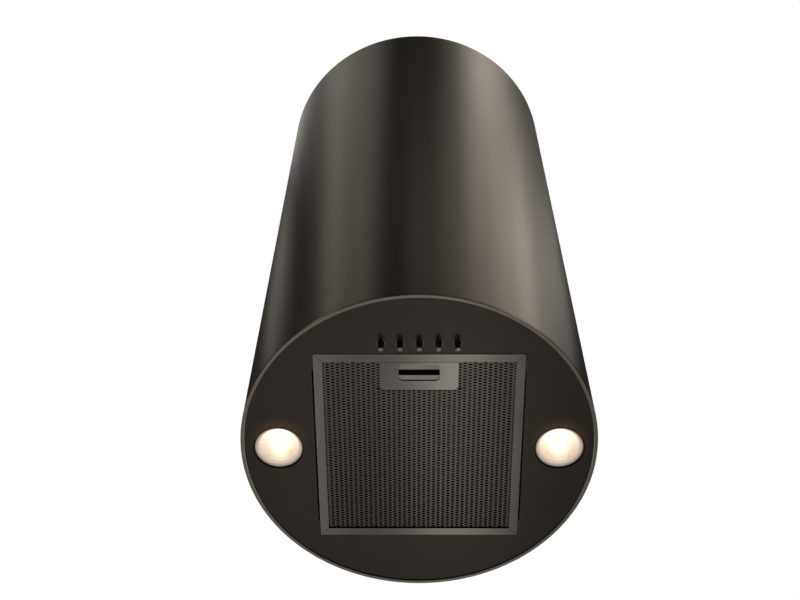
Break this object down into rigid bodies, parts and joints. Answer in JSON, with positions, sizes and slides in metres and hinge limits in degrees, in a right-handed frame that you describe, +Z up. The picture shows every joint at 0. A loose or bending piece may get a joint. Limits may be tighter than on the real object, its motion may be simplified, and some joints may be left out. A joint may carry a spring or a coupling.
{
  "type": "island range hood",
  "caption": "Ceiling-hung round island cooker hood: tube sleeve, recessed bottom panel with tilting grease filter, push buttons, lamps and a double-inlet blower with damper.",
  "frame": {"origin": "middle of the ceiling mounting face, at the centre of the ceiling bolt pattern", "axes": "+Z up into the ceiling, -Y towards the push buttons, the hood hangs below z = 0"},
  "size_m": [0.39, 0.39, 0.8115],
  "materials": {
    "sleeve_metal": "satin dark bronze coated steel",
    "ring_metal": "satin dark bronze coated steel, polished edge",
    "panel_metal": "satin near-black bronze coating",
    "filter_frame_metal": "brushed dark bronze",
    "filter_mesh_metal": "expanded metal, dark bronze",
    "filter_pack_metal": "matt",
    "handle_metal": "satin bronze",
    "latch_metal": "satin",
    "button_metal": "satin metal",
    "black_plastic": "matt",
    "galvanised_steel": "zinc coated",
    "bright_steel": "bright zinc",
    "motor_metal": "cast",
    "winding": "varnished copper and laminations",
    "rubber": "matt",
    "white_plastic": "matt",
    "lamp_ring_metal": "satin",
    "lamp_glass": "clear, faintly frosted rim",
    "reflector": "bright dish",
    "ceramic": "glazed ceramic"
  },
  "bodies": {
    "hood": {"tube": "sleeve_metal", "tube_tabs": "galvanised_steel", "bottom_ring": "ring_metal", "bottom_panel": "panel_metal", "panel_studs": "bright_steel", "panel_nuts": "bright_steel", "base_frame": "galvanised_steel", "post_front_left": "galvanised_steel", "post_front_right": "galvanised_steel", "post_rear_left": "galvanised_steel", "post_rear_right": "galvanised_steel", "ceiling_plate": "galvanised_steel", "frame_screws": "bright_steel", "blower_tray": "galvanised_steel", "scroll_wrapper": "galvanised_steel", "scroll_side_front": "galvanised_steel", "scroll_side_rear": "galvanised_steel", "inlet_ring_front": "galvanised_steel", "inlet_ring_rear": "galvanised_steel", "motor_housing": "motor_metal", "motor_end_cap": "motor_metal", "stator": "winding", "motor_bearings": "bright_steel", "motor_bracket": "galvanised_steel", "motor_mounts": "rubber", "capacitor": "white_plastic", "outlet_collar": "galvanised_steel", "flap_pin": "bright_steel", "terminal_box": "black_plastic", "terminal_box_lid": "black_plastic", "cable_gland": "black_plastic", "switch_block": "black_plastic", "button_bezels": "button_metal", "lamp_ring_left": "lamp_ring_metal", "lamp_glass_left": "lamp_glass", "lamp_reflector_left": "reflector", "lamp_socket_left": "ceramic", "lamp_ring_right": "lamp_ring_metal", "lamp_glass_right": "lamp_glass", "lamp_reflector_right": "reflector", "lamp_socket_right": "ceramic"},
    "rotor": {"blower_wheel": "galvanised_steel", "motor_shaft": "bright_steel", "rotor_core": "motor_metal"},
    "flap_left": {"flap_left": "galvanised_steel"},
    "flap_right": {"flap_right": "galvanised_steel"},
    "filter": {"filter_frame": "filter_frame_metal", "filter_mesh": "filter_mesh_metal", "filter_pack": "filter_pack_metal", "handle_plate": "handle_metal", "handle_cup": "black_plastic", "latch_spring": "bright_steel"},
    "latch": {"latch_slider": "latch_metal"},
    "button_1": {"button_1": "button_metal"},
    "button_2": {"button_2": "button_metal"},
    "button_3": {"button_3": "button_metal"},
    "button_4": {"button_4": "button_metal"},
    "button_5": {"button_5": "button_metal"}
  },
  "joints": [
    {"name": "blower_spin", "type": "hinge", "parent": "hood", "child": "rotor", "pos_m": [-0.065, 0, -0.557], "axis": [0, -1, 0], "continuous": true},
    {"name": "flap_left_swing", "type": "hinge", "parent": "hood", "child": "flap_left", "pos_m": [0, 0, -0.4115], "axis": [0, 1, 0], "range_deg": [0, 80]},
    {"name": "flap_right_swing", "type": "hinge", "parent": "hood", "child": "flap_right", "pos_m": [0, 0, -0.4115], "axis": [0, -1, 0], "range_deg": [0, 80]},
    {"name": "filter_tilt", "type": "hinge", "parent": "hood", "child": "filter", "pos_m": [0, 0.122, -0.7992], "axis": [1, 0, 0], "range_deg": [0, 75]},
    {"name": "latch_slide", "type": "slide", "parent": "filter", "child": "latch", "axis": [0, 1, 0], "range_m": [0, 0.005], "stiffness_N_per_m": 500, "springref_m": -0.004, "deforming": ["latch_spring"]},
    {"name": "button_1_press", "type": "slide", "parent": "hood", "child": "button_1", "axis": [0, 0, 1], "range_m": [0, 0.003], "stiffness_N_per_m": 500, "springref_m": -0.003},
    {"name": "button_2_press", "type": "slide", "parent": "hood", "child": "button_2", "axis": [0, 0, 1], "range_m": [0, 0.003], "stiffness_N_per_m": 500, "springref_m": -0.003},
    {"name": "button_3_press", "type": "slide", "parent": "hood", "child": "button_3", "axis": [0, 0, 1], "range_m": [0, 0.003], "stiffness_N_per_m": 500, "springref_m": -0.003},
    {"name": "button_4_press", "type": "slide", "parent": "hood", "child": "button_4", "axis": [0, 0, 1], "range_m": [0, 0.003], "stiffness_N_per_m": 500, "springref_m": -0.003},
    {"name": "button_5_press", "type": "slide", "parent": "hood", "child": "button_5", "axis": [0, 0, 1], "range_m": [0, 0.003], "stiffness_N_per_m": 500, "springref_m": -0.003}
  ],
  "couplings": [
    {"joint": "flap_right_swing", "follows": "flap_left_swing", "ratio": 1}
  ]
}
